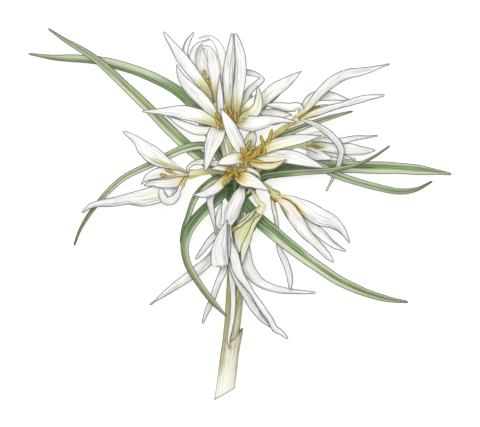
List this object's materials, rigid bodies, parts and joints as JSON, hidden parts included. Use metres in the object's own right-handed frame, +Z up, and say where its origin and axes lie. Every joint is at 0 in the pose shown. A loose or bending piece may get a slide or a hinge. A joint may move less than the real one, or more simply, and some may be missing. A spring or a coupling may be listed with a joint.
{
  "type": "cut colchicum crocifolium flower stem",
  "caption": "Cut flowering stem lying on its side, with long grassy leaves and loose star-shaped flowers of narrow white petals round golden stamens.",
  "frame": {"origin": "on the surface that the plant lies on, under the middle of its box", "axes": "+Z up from the surface, -Y along the stem to its cut end, +X to the right seen from above"},
  "size_m": [0.1704, 0.1498, 0.0463],
  "materials": {
    "stem": "fresh fleshy stem, cream sheath below, olive green above, satin",
    "leaf": "green leaf with a pale middle stripe and fine veins, satin",
    "petal": "white petal with fine grey veins, golden at its base, soft",
    "stamen": "golden, powdery anthers"
  },
  "bodies": {
    "root": {"stem": "stem", "leaf_upper_left": "leaf", "leaf_far_left": "leaf", "leaf_low_left": "leaf", "leaf_thin": "leaf", "leaf_curled_front": "leaf", "leaf_low_right": "leaf", "leaf_recurved": "leaf", "leaf_right": "leaf", "leaf_right_thin": "leaf", "leaf_upper_right": "leaf", "flower_upper": "petal", "flower_top": "petal", "flower_middle": "petal", "flower_front": "petal", "flower_centre": "petal", "flower_left": "petal", "flower_upper_right": "petal", "flower_right": "petal", "flower_lower_right": "petal", "flower_behind": "petal", "flower_yellow": "petal", "flower_hanging": "petal", "stamens_upper": "stamen", "stamens_top": "stamen", "stamens_middle": "stamen", "stamens_front": "stamen", "stamens_centre": "stamen", "stamens_left": "stamen", "stamens_upper_right": "stamen", "stamens_right": "stamen", "stamens_lower_right": "stamen", "stamens_behind": "stamen"}
  },
  "joints": []
}
